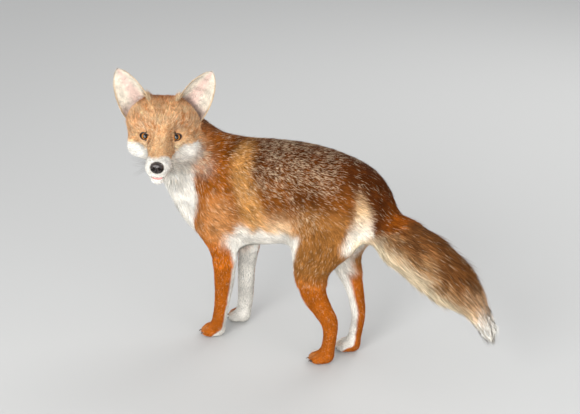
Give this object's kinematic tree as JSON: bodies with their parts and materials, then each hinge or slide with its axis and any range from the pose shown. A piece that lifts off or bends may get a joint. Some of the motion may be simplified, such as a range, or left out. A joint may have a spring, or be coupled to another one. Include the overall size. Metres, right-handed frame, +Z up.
{
  "type": "red fox",
  "caption": "Life-size still model of a standing red fox, its head turned past its left shoulder and its brush held low; it rests on the soles of its feet.",
  "frame": {"origin": "middle of the bounding box in plan, on the floor under the feet", "axes": "-X the way the body faces, -Y its left side, +Z up"},
  "size_m": [0.7318, 0.2612, 0.5347],
  "materials": {
    "rufous_coat": "short orange-brown fur",
    "grizzled_coat": "red-brown fur flecked with white",
    "face_coat": "very short orange-tan fur",
    "pale_coat": "white and cream fur",
    "brush_coat": "long brown fur",
    "nose_leather": "damp black nose leather",
    "eye": "wet amber eye",
    "horn": "dark claw horn"
  },
  "bodies": {
    "root": {"belly": "grizzled_coat", "chest": "grizzled_coat", "ear_left": "rufous_coat", "ear_right": "rufous_coat", "eye_left": "eye", "eye_right": "eye", "fore_left_claw_1": "horn", "fore_left_claw_2": "horn", "fore_left_claw_3": "horn", "fore_left_claw_4": "horn", "fore_left_lower": "rufous_coat", "fore_left_paw": "rufous_coat", "fore_left_upper": "rufous_coat", "fore_right_claw_1": "horn", "fore_right_claw_2": "horn", "fore_right_claw_3": "horn", "fore_right_claw_4": "horn", "fore_right_lower": "rufous_coat", "fore_right_paw": "rufous_coat", "fore_right_upper": "rufous_coat", "head": "face_coat", "hind_left_claw_1": "horn", "hind_left_claw_2": "horn", "hind_left_claw_3": "horn", "hind_left_claw_4": "horn", "hind_left_lower": "rufous_coat", "hind_left_paw": "rufous_coat", "hind_left_upper": "rufous_coat", "hind_right_claw_1": "horn", "hind_right_claw_2": "horn", "hind_right_claw_3": "horn", "hind_right_claw_4": "horn", "hind_right_lower": "rufous_coat", "hind_right_paw": "rufous_coat", "hind_right_upper": "rufous_coat", "lower_jaw": "pale_coat", "muzzle": "face_coat", "neck": "rufous_coat", "nose": "nose_leather", "rump": "grizzled_coat", "tail_middle": "brush_coat", "tail_root": "brush_coat", "tail_tip": "pale_coat"}
  },
  "joints": []
}
